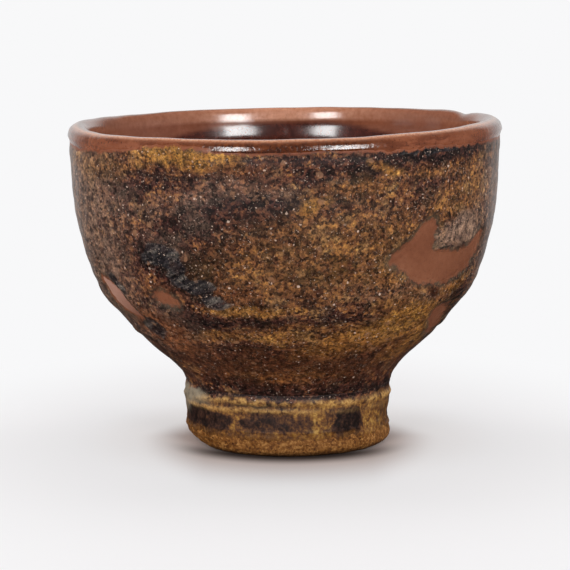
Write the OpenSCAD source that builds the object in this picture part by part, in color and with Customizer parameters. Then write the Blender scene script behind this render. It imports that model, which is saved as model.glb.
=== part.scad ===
// Guinomi: a small hand-thrown stoneware sake cup on a turned foot.
//
// The clay is a bowl and the foot that is joined under it. An iron-red glaze
// lines the bowl, rolls over the lip and runs down the outside. A mottled
// brown glaze lies over it from below the lip to the neck, and has bare
// windows where the iron-red glaze shows. A last coat covers the foot down to
// a strip of bare clay.
//
// Each coat is the space between two offsets of one clay outline, so the
// pieces meet face to face whatever the sizes are.
//
// Frame: the origin is the centre of the foot on the table, +Z is up, and the
// side that faces the viewer is -Y.

/* [Bowl] */
// Diameter across the lip, over the glaze
mouth_d = 64.4; // [56:0.1:76]
// Height from the table to the top of the lip
cup_h = 47.9; // [42:0.1:58]
// Thickness of the lip, over the glaze
lip_w = 3; // [2.4:0.1:3.6]
// Thickness of the bowl's floor above the foot, over the glaze
floor_t = 2; // [1.6:0.1:4]
// Lean of the bowl on its foot, in degrees
lean = 1; // [0:0.1:1.5]

/* [Foot] */
// Diameter of the foot
foot_d = 31; // [27:0.5:35]
// Height of the foot from the table to the neck
foot_h = 9.2; // [8.4:0.1:11]
// Width of the ring that stands on the table, over its rounded edges
ring_w = 4.2; // [3.4:0.1:5.4]
// Depth of the hollow turned into the foot
recess_h = 5.6; // [3.5:0.1:6.2]
// Rounding of the foot's outer lower edge
edge_r = 1.1; // [0.6:0.1:1.5]
// Height of the raised node line above the table
node_z = 6.8; // [6.2:0.1:7.2]
// Height of the node line itself
node_w = 1.6; // [1:0.1:1.8]
// How far the node line stands out of the foot
node_out = 0.2; // [0.1:0.05:0.6]

/* [Glaze] */
// Thickness of the iron-red glaze
iron_t = 0.3; // [0.2:0.05:0.5]
// Thickness of the mottled glaze over it
mottle_t = 0.35; // [0.2:0.05:0.5]
// Height of the iron-red band from the top of the lip down
band_h = 2.2; // [2:0.1:5]
// Height of the bare clay above the table
bare_h = 2.5; // [1.9:0.1:3.2]
// Height over which a glaze thins to its edge
taper_h = 1; // [0.5:0.1:1.4]

/* [Windows] */
// Width of the broad window on the right
fin_w = 21; // [16:0.5:24]
// Height of the broad window on the right
fin_h = 9.5; // [6:0.5:12]
// Width of the leaf-shaped windows
leaf_w = 9; // [5:0.5:11]
// Height of the leaf-shaped windows
leaf_h = 5; // [3:0.5:7]

/* [Hidden] */
$fn = 96;

CLAY = [0.60, 0.38, 0.18];
IRON = [0.48, 0.25, 0.17];
MOTTLE = [0.33, 0.20, 0.09];
FOOT = [0.42, 0.27, 0.13];

// Each stretch of a smoothed outline is split into this many steps.
smooth_steps = 4;
lip_steps = 10;
edge_steps = 5;

// How far a cut runs past what it cuts.
overrun = 1;

// A glaze that ends on the outside thins to this share of its thickness.
thin_share = 0.3;

glaze_t = iron_t + mottle_t;
lip_r = lip_w / 2 - iron_t;
clay_r = mouth_d / 2 - iron_t;
lip_z = cup_h - iron_t - lip_r;
neck_r = foot_d / 2 - glaze_t;
bare_r = foot_d / 2 - thin_share * glaze_t;
floor_z = foot_h + floor_t - iron_t;
band_z = cup_h - band_h;

// The bowl's outside, from the neck up to where the lip's roll starts:
// [share of the way out from the neck, share of the way up from the foot].
bowl_shares = [
  [0, 0], [0.03, 0.035], [0.11, 0.08], [0.3, 0.163], [0.487, 0.247],
  [0.629, 0.326], [0.711, 0.366], [0.762, 0.41], [0.852, 0.525],
  [0.935, 0.69], [0.962, 0.86], [0.974, 0.955], [1, 1]
];

// The bowl's inside, from the lip down to the middle of its floor:
// [share of the inside radius, share of the inside depth].
hollow_shares = [
  [1, 1], [0.985, 0.84], [0.955, 0.66], [0.9, 0.48], [0.8, 0.3],
  [0.62, 0.14], [0.44, 0.045], [0.22, 0.006], [0, 0]
];

// Outlines of the windows, as shares of their width and height.
fin_shares = [
  [-0.5, -0.08], [-0.37, 0.16], [-0.29, 0.38], [-0.2, 0.47], [-0.18, 0.28],
  [-0.185, 0.02], [-0.06, -0.05], [0.13, -0.09], [0.27, -0.03], [0.41, 0.14],
  [0.46, 0.03], [0.38, -0.22], [0.24, -0.42], [0.02, -0.5], [-0.23, -0.43],
  [-0.39, -0.24]
];
leaf_shares = [
  [-0.5, 0.3], [-0.2, 0.44], [0.14, 0.26], [0.5, -0.36], [0.2, -0.5],
  [-0.22, -0.16]
];

// The leaf-shaped windows: [azimuth in degrees from the front towards +X,
// share of the cup's height, turn in degrees, size as a share of the leaf].
leaf_place_shares = [
  [61, 0.42, -8, 1.12], [-62, 0.49, -5, 0.95], [-37.5, 0.528, 8, 0.5],
  [158, 0.5, 20, 1.15], [-165, 0.6, -40, 0.6]
];
// The broad windows: [azimuth, share of the cup's height].
fin_place_shares = [[49, 0.653], [-122, 0.63]];

// A smooth curve through all the points, as a Catmull-Rom spline.
function curve_point(a, b, c, d, t) = (2 * b + (c - a) * t
  + (2 * a - 5 * b + 4 * c - d) * t * t
  + (3 * b - a - 3 * c + d) * t * t * t) / 2;
function smooth_path(points) = let (last = len(points) - 1) [
  for (i = [0 : last - 1], k = [0 : smooth_steps - 1])
    curve_point(points[max(i - 1, 0)], points[i], points[i + 1],
      points[min(i + 2, last)], k / smooth_steps),
  points[last]
];
function smooth_loop(points) = let (n = len(points)) [
  for (i = [0 : n - 1], k = [0 : smooth_steps - 1])
    curve_point(points[(i + n - 1) % n], points[i], points[(i + 1) % n],
      points[(i + 2) % n], k / smooth_steps)
];

// The same path, which only rises, with a point added at height z.
function with_level(path, z) = concat(
  [for (p = path) if (p.y < z) p],
  [[lookup(z, [for (p = path) [p.y, p.x]]), z]],
  [for (p = path) if (p.y > z) p]
);

// The direction out of the clay at one point of a path. The clay lies on the
// left of the path, and the path ends level where it meets the axis.
function outward(path, i) = let (
  ahead = path[min(i + 1, len(path) - 1)] - path[max(i - 1, 0)],
  side = [ahead.y, -ahead.x] / norm(ahead)
) path[i].x == 0 ? [0, 1] : side;
function skin(path, t) = [
  for (i = [0 : len(path) - 1]) path[i] + t * outward(path, i)
];
function reversed(path) = [for (i = [len(path) - 1 : -1 : 0]) path[i]];
function first_points(path, count) = [for (i = [0 : count - 1]) path[i]];

// The outer face of a coat, which thins towards its edge at height edge_z.
function thinned(carrier, face, edge_z) = [
  for (i = [0 : len(face) - 1]) let (
    rise_share = min(1, abs(edge_z - carrier[i].y) / taper_h),
    full_share = thin_share + (1 - thin_share) * rise_share
  ) carrier[i] + full_share * (face[i] - carrier[i])
];

// Clay outline of the bowl: up the outside, over the lip, down the inside.
bowl_outside = with_level(smooth_path([
  for (s = bowl_shares)
    [neck_r + s.x * (clay_r - neck_r), foot_h + s.y * (lip_z - foot_h)]
]), band_z);
lip_roll = [
  for (k = [1 : lip_steps - 1]) let (turn = 180 * k / lip_steps)
    [clay_r - lip_r + lip_r * cos(turn), lip_z + lip_r * sin(turn)]
];
bowl_inside = smooth_path([
  for (s = hollow_shares)
    [s.x * (clay_r - 2 * lip_r), floor_z + s.y * (lip_z - floor_z)]
]);
// The bowl runs on below the neck, where it is cut off level once it leans.
bowl_path = concat(
  [[neck_r, foot_h - overrun]], bowl_outside, lip_roll, bowl_inside
);

// Clay outline of the foot's outside, from the table up to the neck.
foot_edge = [
  for (k = [0 : edge_steps]) let (turn = 90 * k / edge_steps)
    [bare_r - edge_r + edge_r * sin(turn), edge_r - edge_r * cos(turn)]
];
foot_side = smooth_path([
  [bare_r, edge_r], [bare_r, bare_h], [neck_r, bare_h + taper_h],
  [neck_r, node_z - node_w / 2], [neck_r + node_out, node_z],
  [neck_r, node_z + node_w / 2], [neck_r, foot_h]
]);
foot_glazed = [for (p = foot_side) if (p.y >= bare_h) p];
foot_bare = [for (p = foot_side) if (p.y > edge_r && p.y < bare_h) p];

// The hollow under the foot: from the inner edge of the ring to the axis. Its
// ceiling is a shallow dome, which is this much lower where it meets the side.
recess_side_share = 0.9;
recess_r = bare_r - ring_w;
inner_edge_r = edge_r / 2;
recess_corner_r = 2 * inner_edge_r;
recess_side_h = recess_h * recess_side_share;

// The bowl and its coats lean together, and are cut level at the neck.
module leaned() {
  difference() {
    translate([0, 0, foot_h]) rotate([0, -lean, 0]) translate([0, 0, -foot_h])
      children();
    translate([0, 0, foot_h - 2 * overrun])
      cylinder(h = 2 * overrun, d = mouth_d);
  }
}

// A window's outline pushed out of the axis through the side of the bowl.
module window_cutter(azimuth, z, turn, w, h, shares) {
  translate([0, 0, z]) rotate([90, 0, azimuth])
    linear_extrude(height = mouth_d) rotate(turn)
      polygon(smooth_loop([for (s = shares) [s.x * w, s.y * h]]));
}

module windows() {
  for (p = fin_place_shares)
    window_cutter(p[0], p[1] * cup_h, 0, fin_w, fin_h, fin_shares);
  for (p = leaf_place_shares)
    window_cutter(p[0], p[1] * cup_h, p[2], p[3] * leaf_w, p[3] * leaf_h,
      leaf_shares);
}

module clay_bowl() {
  color(CLAY) leaned() rotate_extrude()
    polygon(concat(bowl_path, [[0, foot_h - overrun]]));
}

module clay_foot() {
  color(CLAY) rotate_extrude() polygon(concat(
    foot_edge, foot_bare, foot_glazed,
    [
      [0, foot_h], [0, recess_h], [recess_r - recess_corner_r, recess_side_h],
      [recess_r, recess_side_h - recess_corner_r],
      [recess_r, inner_edge_r], [recess_r + inner_edge_r, 0]
    ]
  ));
}

module iron_glaze() {
  color(IRON) leaned() rotate_extrude()
    polygon(concat(skin(bowl_path, iron_t), reversed(bowl_path)));
}

module mottled_glaze() {
  covered = len([for (p = bowl_outside) if (p.y <= band_z) p]) + 1;
  carrier = first_points(skin(bowl_path, iron_t), covered);
  face = first_points(skin(bowl_path, glaze_t), covered);
  color(MOTTLE) leaned() difference() {
    rotate_extrude()
      polygon(concat(thinned(carrier, face, band_z), reversed(carrier)));
    windows();
  }
}

module foot_glaze() {
  face = skin(foot_glazed, glaze_t);
  color(FOOT) rotate_extrude()
    polygon(concat(thinned(foot_glazed, face, bare_h), reversed(foot_glazed)));
}

clay_bowl();
clay_foot();
iron_glaze();
mottled_glaze();
foot_glaze();
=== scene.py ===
import math

import bmesh
import bpy
import numpy as np
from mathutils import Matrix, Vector, noise


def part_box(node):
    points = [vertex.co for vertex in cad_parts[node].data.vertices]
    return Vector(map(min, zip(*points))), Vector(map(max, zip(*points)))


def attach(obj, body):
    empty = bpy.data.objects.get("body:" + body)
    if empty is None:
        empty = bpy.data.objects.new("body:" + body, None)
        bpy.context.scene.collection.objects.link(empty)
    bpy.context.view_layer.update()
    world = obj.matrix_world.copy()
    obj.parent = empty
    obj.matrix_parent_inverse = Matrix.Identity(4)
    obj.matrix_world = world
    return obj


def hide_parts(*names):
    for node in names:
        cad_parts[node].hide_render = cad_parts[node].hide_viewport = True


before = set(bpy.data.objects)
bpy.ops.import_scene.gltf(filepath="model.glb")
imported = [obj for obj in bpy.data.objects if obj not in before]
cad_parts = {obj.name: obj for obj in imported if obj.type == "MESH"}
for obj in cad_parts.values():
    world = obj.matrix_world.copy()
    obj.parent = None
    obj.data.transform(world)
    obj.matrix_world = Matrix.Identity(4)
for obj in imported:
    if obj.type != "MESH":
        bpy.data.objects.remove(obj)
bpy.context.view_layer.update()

# The cup is built again in fine meshes, coat over coat, from the outline that
# the CAD nodes have. Lengths are in millimetres until a mesh is made. An
# azimuth is in degrees from the front, -Y, towards +X.
MM = 0.001

# Sizes read from the frame.
iron_low, iron_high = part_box("iron_glaze")
foot_low, foot_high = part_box("foot_glaze")
ring_low, ring_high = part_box("clay_foot")
MOUTH_R = (iron_high.y - iron_low.y) / 2 / MM
FOOT_H = foot_high.z / MM
BARE_H = foot_low.z / MM
BARE_R = (ring_high.x - ring_low.x) / 2 / MM

# Sizes that the boxes of the nodes don't give.
LEAN = math.radians(1)
IRON_T = 0.3
MOTTLE_T = 0.35
LIP_R = 1.2
FLOOR_T = 2
BAND_H = 2.2
TAPER_H = 1
FOOT_D = 31
RING_W = 4.2
RECESS_H = 5.6
EDGE_R = 1.1
FOOT_ASIDE = -0.18

# Sizes that follow from these.
GLAZE_T = IRON_T + MOTTLE_T
CLAY_R = MOUTH_R - IRON_T
NECK_R = FOOT_D / 2 - GLAZE_T
CUP_H = iron_high.z / MM - (CLAY_R - LIP_R) * math.sin(LEAN)
LIP_Z = CUP_H - IRON_T - LIP_R
FLOOR_Z = FOOT_H + FLOOR_T - IRON_T
BAND_Z = CUP_H - BAND_H
RECESS_R = BARE_R - RING_W

# Control points of the clay's outline, as shares: outside from the neck to the
# lip, and inside from the lip to the middle of the floor.
BOWL_SHARES = [
    (0, 0), (0.03, 0.035), (0.11, 0.08), (0.3, 0.163), (0.487, 0.247),
    (0.629, 0.326), (0.711, 0.366), (0.762, 0.41), (0.852, 0.525),
    (0.935, 0.69), (0.962, 0.86), (0.974, 0.955), (1, 1),
]
HOLLOW_SHARES = [
    (1, 1), (0.985, 0.84), (0.955, 0.66), (0.9, 0.48), (0.8, 0.3),
    (0.62, 0.14), (0.44, 0.045), (0.22, 0.006), (0, 0),
]

# Windows in the mottled glaze: a width and a height, and an outline in shares of
# them, which stands upright in front of the wall at an azimuth and a height.
FIN = ((21, 9.5), [
    (-0.5, -0.08), (-0.37, 0.16), (-0.29, 0.38), (-0.2, 0.47), (-0.18, 0.28),
    (-0.185, 0.02), (-0.06, -0.05), (0.13, -0.09), (0.27, -0.03), (0.41, 0.14),
    (0.46, 0.03), (0.38, -0.22), (0.24, -0.42), (0.02, -0.5), (-0.23, -0.43),
    (-0.39, -0.24),
])
LEAF = ((9, 5), [
    (-0.5, 0.3), (-0.2, 0.44), (0.14, 0.26), (0.5, -0.36), (0.2, -0.5),
    (-0.22, -0.16),
])
# The angle on each side of its middle over which a window is worked out, and
# the steps between two points of its outline.
WINDOW_REACH = 60
WINDOW_STEPS = 4
# (size, outline, azimuth, share of the cup's height, turn, scale)
WINDOWS = [
    (*FIN, 49, 0.653, 0, 1),
    (*FIN, -122, 0.63, 0, 1),
    (*LEAF, 62, 0.42, -8, 0.92),
    (*LEAF, -61.5, 0.508, -12, 0.92),
    (*LEAF, -37, 0.524, 8, 0.42),
    (*LEAF, 158, 0.5, 20, 1.15),
    (*LEAF, -165, 0.6, -40, 0.6),
]

# Points of the meshes: round the cup, round the bare clay, and along each
# outline. Those of the inside gather towards the lip.
AROUND = 420
AROUND_PLAIN = 240
CURVE_STEPS = 16
LIP_STEPS = 24
CLAY_STEPS = (60, 60)
IRON_STEPS = (46, 62)
MOTTLE_STEPS = 96
FOOT_STEPS = 120
FOOT_GLAZE_STEPS = 44
INSIDE_GATHER = 1.4
# Points on each side of the lip's top over which the inside becomes the outside.
LIP_BLEND = 9


def smooth_curve(points, steps, loop=False):
    """A Catmull-Rom curve through the points."""
    p = np.array(points, float)
    p = np.concatenate([p[-1:], p, p[:2]] if loop else [p[:1], p, p[-1:]])[:, None]
    a, b, c, d = p[:-3], p[1:-2], p[2:-1], p[3:]
    t = np.arange(steps)[:, None] / steps
    curve = (2 * b + (c - a) * t + (2 * a - 5 * b + 4 * c - d) * t * t
             + (3 * b - a - 3 * c + d) * t ** 3) / 2
    return np.concatenate([curve.reshape(-1, 2)] + ([] if loop else [p[-1]]))


def evenly(path, count, gather=1):
    """The path again in count even steps. A gather above 1 draws them to its start."""
    run = np.concatenate([[0], np.cumsum(np.linalg.norm(np.diff(path, axis=0), axis=1))])
    at = np.linspace(0, 1, count) ** gather * run[-1]
    return np.stack([np.interp(at, run, path[:, k]) for k in (0, 1)], 1)


def normals(path):
    """Directions out of the clay, which lies on the left of the path."""
    ahead = np.gradient(path, axis=0)
    out = np.stack([ahead[:, 1], -ahead[:, 0]], 1)
    return out / np.linalg.norm(out, axis=1, keepdims=True)


def smooth_step(x, low, high):
    t = np.clip((x - low) / (high - low), 0, 1)
    return t * t * (3 - 2 * t)


def bell(x, centre, width):
    return np.exp(-((x - centre) / width) ** 2)


def apart(azimuth, other):
    """The signed angle from other to azimuth, in degrees."""
    return (azimuth - other + 180) % 360 - 180


def wander(points, size, shift):
    """Smooth noise from about -1 to 1 at each point, with features of that size in mm."""
    at = (points / size + shift).reshape(-1, 3)
    return 1.6 * np.array([noise.noise(Vector(p)) for p in at]).reshape(points.shape[:-1])


def layered(points, *layers):
    """Smooth noise of several sizes, added up: (amount, size, shift)."""
    return sum(amount * wander(points, size, shift) for amount, size, shift in layers)


def swells(z, rows):
    """Soft bands, added up: (height, half height, amount)."""
    return sum(amount * bell(z, at, width) for at, width, amount in rows)


bowl_outside = smooth_curve(
    [(NECK_R + s * (CLAY_R - NECK_R), FOOT_H + h * (LIP_Z - FOOT_H)) for s, h in BOWL_SHARES],
    CURVE_STEPS)
lip_roll = [
    (CLAY_R - LIP_R + LIP_R * math.cos(t), LIP_Z + LIP_R * math.sin(t))
    for t in np.linspace(0, math.pi, LIP_STEPS)[1:-1]
]
bowl_inside = smooth_curve(
    [(s * (CLAY_R - 2 * LIP_R), FLOOR_Z + h * (LIP_Z - FLOOR_Z)) for s, h in HOLLOW_SHARES],
    CURVE_STEPS)
bowl_path = np.concatenate([bowl_outside, lip_roll, bowl_inside])
# Heights, and the radius half way through the wall at each.
wall_z = np.linspace(FLOOR_Z, LIP_Z, 40)
wall_middle = (wall_z, (
    np.interp(wall_z, bowl_outside[:, 1], bowl_outside[:, 0])
    + np.interp(wall_z, bowl_inside[::-1, 1], bowl_inside[::-1, 0])) / 2)


def on_axis(path, azimuths):
    """Points at each radius and height of a path, round the axis: rings x around x 3."""
    a = np.radians(azimuths)
    return np.stack([
        path[:, :1] * np.sin(a), -path[:, :1] * np.cos(a),
        np.repeat(path[:, 1:], len(azimuths), 1)], 2)


def on_grid(path, azimuths):
    """The points of a path round the axis, with the azimuth, height and radius of each."""
    flat = on_axis(path, azimuths)
    azimuth = np.repeat(azimuths[None], len(path), 0)
    return flat, azimuth, flat[..., 2], np.hypot(flat[..., 0], flat[..., 1])


def outward(azimuth):
    """The level direction out of the axis at each azimuth."""
    a = np.radians(azimuth)
    return np.stack([np.sin(a), -np.cos(a), 0 * a], -1)


# What the hand did to the true form of the bowl, in mm and degrees: how far it
# is from round, its soft lumps, and the pitch and depths of the throwing rings.
OVAL = 0.13
OVAL_TURN = 50
LUMPS = (0.16, 15, 3.1)
RING_PITCH = 1.7
RINGS_OUTSIDE = 0.03
RINGS_BELOW_MIDDLE = [(23, 6.5, 0.1)]
RINGS_INSIDE = 0.14
# The trimmed ridge above the neck, as swells about its own height.
RIDGE_Z = 17.9
RIDGE = [(0, 0.32, 0.17), (-0.85, 0.6, -0.15)]
# Swells of the outside, and facets of the inside that are deepest at the back.
OUTSIDE_SWELLS = [
    (LIP_Z - 0.2, 0.45, 0.08), (LIP_Z + 0.85, 0.32, 0.09), (CUP_H - 3.2, 1.3, 0.2),
    (12.8, 2.4, -0.3), (18, 4, -0.1),
]
SIDE_SWELL = (CUP_H - 8.5, 4.5, 0.17)
LIP_SIDE_SWELL = (LIP_Z + 0.2, 1.4, 0.1)
INSIDE_SWELL = (CUP_H - 2.75, 1.1, 0.06)
BACK_FACETS = [(CUP_H - 2.75, 1.1, 0.16), (CUP_H - 1, 0.85, 0.3), (CUP_H - 6.4, 1.1, 0.2)]
BACK_HALF = 60
# The lip is higher at both sides, and has a small dent at the back on the right:
# (azimuth, half width, amount).
LIP_RISES = [(82, 46, 0.34), (-94, 27, 0.44), (165, 50, 0.1), (-8, 34, -0.13), (114, 4.5, -0.42)]
LIP_WAVES = [(0.1, 1 / 1.3, 1.7), (0.05, 1 / 5, 4)]


def bowl_warp(points, outside):
    """Lean, soft lumps, throwing rings and an uneven lip, given to the true form."""
    x, y, z = (points[..., k] for k in range(3))
    r = np.hypot(x, y)
    inside = 1 - outside
    azimuth = np.degrees(np.arctan2(x, -y))
    around = np.stack([x, y, 0 * z], -1) / np.maximum(r, 1)[..., None]
    upper = smooth_step(z, FOOT_H + 2, FOOT_H + 16)
    out_by = upper * (OVAL * np.cos(np.radians(2 * azimuth - OVAL_TURN)) + layered(points, LUMPS))
    # The rings climb round the wall as a screw does.
    rings_at = 0.8 * around
    rings_at[..., 2] = z / RING_PITCH + azimuth / 360
    rings = RINGS_OUTSIDE + swells(z, RINGS_BELOW_MIDDLE)
    out_by += outside * rings * wander(rings_at, 1, 8)
    out_by += inside * RINGS_INSIDE * wander(rings_at * (1, 1, 0.45), 1, 2) * upper
    ridge_z = RIDGE_Z + 0.25 * np.sin(np.radians(azimuth + 40)) + 0.12 * wander(around, 1 / 3, 5)
    out_by += outside * (swells(z - ridge_z, RIDGE) + swells(z, OUTSIDE_SWELLS))
    out_by += outside * swells(z, [SIDE_SWELL]) * smooth_step(np.abs(x), 14, 28)
    out_by += swells(z, [LIP_SIDE_SWELL]) * smooth_step(np.abs(x), 12, 28)
    behind = bell(apart(azimuth, 180), 0, BACK_HALF)
    out_by += inside * (swells(z, [INSIDE_SWELL]) + behind * swells(z, BACK_FACETS))
    grow = 1 + out_by * smooth_step(z, FOOT_H, FOOT_H + 1.2) / np.maximum(r, 1)
    x, y = x * grow, y * grow
    # The lean to the left lifts the right side.
    lift = x * math.sin(LEAN) * smooth_step(z, FOOT_H, FOOT_H + 4)
    rises = sum(amount * bell(apart(azimuth, at), 0, half) for at, half, amount in LIP_RISES)
    lift += (rises + layered(around, *LIP_WAVES)) * smooth_step(z, CUP_H - 22, CUP_H)
    x = x - np.maximum(z - FOOT_H, 0) * math.sin(LEAN) + 0.12 * bell(z, LIP_Z, 3)
    return np.stack([x, y, z + lift], -1)


# The foot's soft lumps and its waist, which is seen at both sides.
FOOT_LUMPS = (0.09, 6, 9)
FOOT_WAIST = (4, 1.3, -0.22)


def foot_warp(points):
    """Soft lumps, a waist and a small step aside below the bowl, given to the true form."""
    x, y, z = (points[..., k] for k in range(3))
    r = np.hypot(x, y)
    out_by = layered(points, FOOT_LUMPS) * smooth_step(FOOT_H - z, 0, 2) * smooth_step(r, 9, 13)
    out_by += swells(z, [FOOT_WAIST]) * smooth_step(np.abs(x), 9, 13)
    grow = 1 + out_by / np.maximum(r, 1)
    aside = FOOT_ASIDE * smooth_step(z, 1, 4) * (1 - smooth_step(z, FOOT_H - 1, FOOT_H))
    return np.stack([x * grow + aside, y * grow, z], -1)


def grid(count, around):
    """Numbers of the points of a grid that closes round itself, and of its quads' corners."""
    index = np.arange(count * around).reshape(count, around)
    across = np.roll(index, -1, 1)
    return index, np.stack([index[:-1], across[:-1], across[1:], index[1:]], -1)


def loft(name, rings, pole_start, pole_end):
    """A closed mesh through rings of points, with a pole at each end."""
    count, around = rings.shape[:2]
    _, quads = grid(count, around)
    faces = quads.reshape(-1, 4).tolist()
    start, end = count * around, count * around + 1
    faces += [(start, q, p) for p, q in quads[0, :, :2].tolist()]
    faces += [(p, q, end) for q, p in quads[-1, :, 2:].tolist()]
    points = np.concatenate([rings.reshape(-1, 3), [pole_start], [pole_end]])
    return make_mesh(name, points * MM, faces)


def add_object(name, data):
    obj = bpy.data.objects.new(name, data)
    bpy.context.scene.collection.objects.link(obj)
    return obj


def make_mesh(name, points, faces, smooth_count=None):
    """An object of these faces, turned outward. The first smooth_count are shaded smooth."""
    mesh = bpy.data.meshes.new(name)
    mesh.from_pydata(points.tolist(), [], faces)
    bm = bmesh.new()
    bm.from_mesh(mesh)
    if bm.calc_volume(signed=True) < 0:
        bmesh.ops.reverse_faces(bm, faces=bm.faces)
    bm.to_mesh(mesh)
    bm.free()
    smooth = np.arange(len(mesh.polygons)) < (smooth_count or len(faces))
    mesh.polygons.foreach_set("use_smooth", smooth)
    mesh.update()
    return add_object(name, mesh)


def coat(name, outer, inner, kept=None):
    """A closed shell between two grids of points. kept marks the quads that stay.

    It also gives the grid point that each point of the mesh comes from.
    """
    count, around = outer.shape[:2]
    if kept is None:
        kept = np.ones((count - 1, around), bool)
    index, quads = grid(count, around)
    below = index + count * around
    top = quads[kept]
    under = np.roll(top[:, ::-1], 1, 1) + count * around
    faces = top.tolist() + under.tolist()
    smooth_count = len(faces)
    # Walls along each edge where the quads end.
    padded = np.pad(kept, ((1, 1), (0, 0)))
    for i, j in np.argwhere(padded[:-1] != padded[1:]):
        k = (j + 1) % around
        wall = [index[i, j], index[i, k], below[i, k], below[i, j]]
        faces.append(wall if padded[i, j] else wall[::-1])
    for i, j in np.argwhere(kept != np.roll(kept, 1, 1)):
        wall = [index[i, j], index[i + 1, j], below[i + 1, j], below[i, j]]
        faces.append(wall if kept[i, j] else wall[::-1])
    used, faces = np.unique(np.array(faces), return_inverse=True)
    points = np.concatenate([outer.reshape(-1, 3), inner.reshape(-1, 3)])[used]
    obj = make_mesh(name, points * MM, faces.reshape(-1, 4).tolist(), smooth_count)
    return obj, used % (count * around)


def paint(obj, used, **fields):
    """Stores each field, one value for each point of a grid, on the mesh."""
    for name, values in fields.items():
        store = obj.data.attributes.new(name, "FLOAT", "POINT")
        store.data.foreach_set("value", np.ravel(values)[used].astype(np.float32))


def outline_distance(u, v, outline):
    """Distance in mm from (u, v) to a closed outline, negative inside it."""
    best = np.full(u.shape, np.inf)
    inside = np.zeros(u.shape, bool)
    for (ax, ay), (bx, by) in zip(outline, np.roll(outline, -1, 0)):
        ex, ey = bx - ax, by - ay
        t = np.clip(((u - ax) * ex + (v - ay) * ey) / (ex * ex + ey * ey), 0, 1)
        best = np.minimum(best, np.hypot(u - ax - t * ex, v - ay - t * ey))
        crosses = (ay > v) != (by > v)
        with np.errstate(divide="ignore", invalid="ignore"):
            inside ^= crosses & (u < ax + ex * (v - ay) / ey)
    return np.where(inside, -best, best)


def window_distance(azimuth, z, r):
    """Distance from each point of the wall to the nearest window's edge, negative inside."""
    nearest = np.full(azimuth.shape, np.inf)
    for (width, height), shares, at, height_share, turn, scale in WINDOWS:
        points = [(a * width * scale, b * height * scale) for a, b in shares]
        outline = smooth_curve(points, WINDOW_STEPS, loop=True)
        t = math.radians(turn)
        outline = outline @ np.array([[math.cos(t), math.sin(t)], [-math.sin(t), math.cos(t)]])
        angle = apart(azimuth, at)
        near = np.abs(angle) < WINDOW_REACH
        u = r[near] * np.sin(np.radians(angle[near]))
        v = z[near] - height_share * CUP_H
        nearest[near] = np.minimum(nearest[near], outline_distance(u, v, outline))
    return nearest


# An oval fades out between these shares of its half width and half height.
OVAL_FADE = (0.5, 1.5)


def blobs(azimuth, z, r, places):
    """The strongest of several soft ovals at each point.

    An oval is (azimuth, height, half width, half height, strength) and may have a turn.
    """
    total = np.zeros(azimuth.shape)
    for at, height, half_w, half_h, strength, *turn in places:
        u = np.radians(apart(azimuth, at)) * r
        v = z - height
        t = math.radians(turn[0] if turn else 0)
        p = (u * math.cos(t) + v * math.sin(t)) / half_w
        q = (v * math.cos(t) - u * math.sin(t)) / half_h
        total = np.maximum(total, strength * (1 - smooth_step(np.hypot(p, q), *OVAL_FADE)))
    return total


azimuths, plain_azimuths = (np.arange(n) * 360 / n - 180 for n in (AROUND, AROUND_PLAIN))


def bowl_line(outside_count, inside_count):
    """The bowl's outline with even steps on each side and finer ones over the lip."""
    inside = evenly(bowl_inside, inside_count, INSIDE_GATHER)
    return np.concatenate([evenly(bowl_outside, outside_count), lip_roll, inside])


def outside_share(path):
    """1 on the outside of the bowl's outline, 0 on its inside, and between them over the lip."""
    top = np.argmax(path[:, 1])
    return 1 - smooth_step(np.arange(len(path)), top - LIP_BLEND, top + LIP_BLEND)


def make_clay_bowl():
    path = bowl_line(*CLAY_STEPS)
    outside = outside_share(path)[:, None]
    rings = bowl_warp(on_axis(path, plain_azimuths), outside)
    rings[0, :, 2] = FOOT_H
    floor = bowl_warp(np.array([[[0, 0, FLOOR_Z]]]), np.zeros((1, 1)))[0, 0]
    return loft("thrown_bowl", rings[:-1], (0, 0, FOOT_H), floor)


# Painted shade darkens the inside: it reaches nearly to the lip at the back, and
# the drop makes it end lower towards the front. The roll is the pale edge above it,
# partly thinner glaze and partly a painted sheen, strongest at the back, and the
# crest a pale line, of so many rings of points, outside the lip's top.
INSIDE_SHADE_DROP = 13
INSIDE_SHADE_HALF = 100
ROLL_SHEEN_HALF = 27
CREST_RINGS = 2
# How far below the band's height the covered part of this coat begins.
SATIN_BELOW = 1.5


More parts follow.
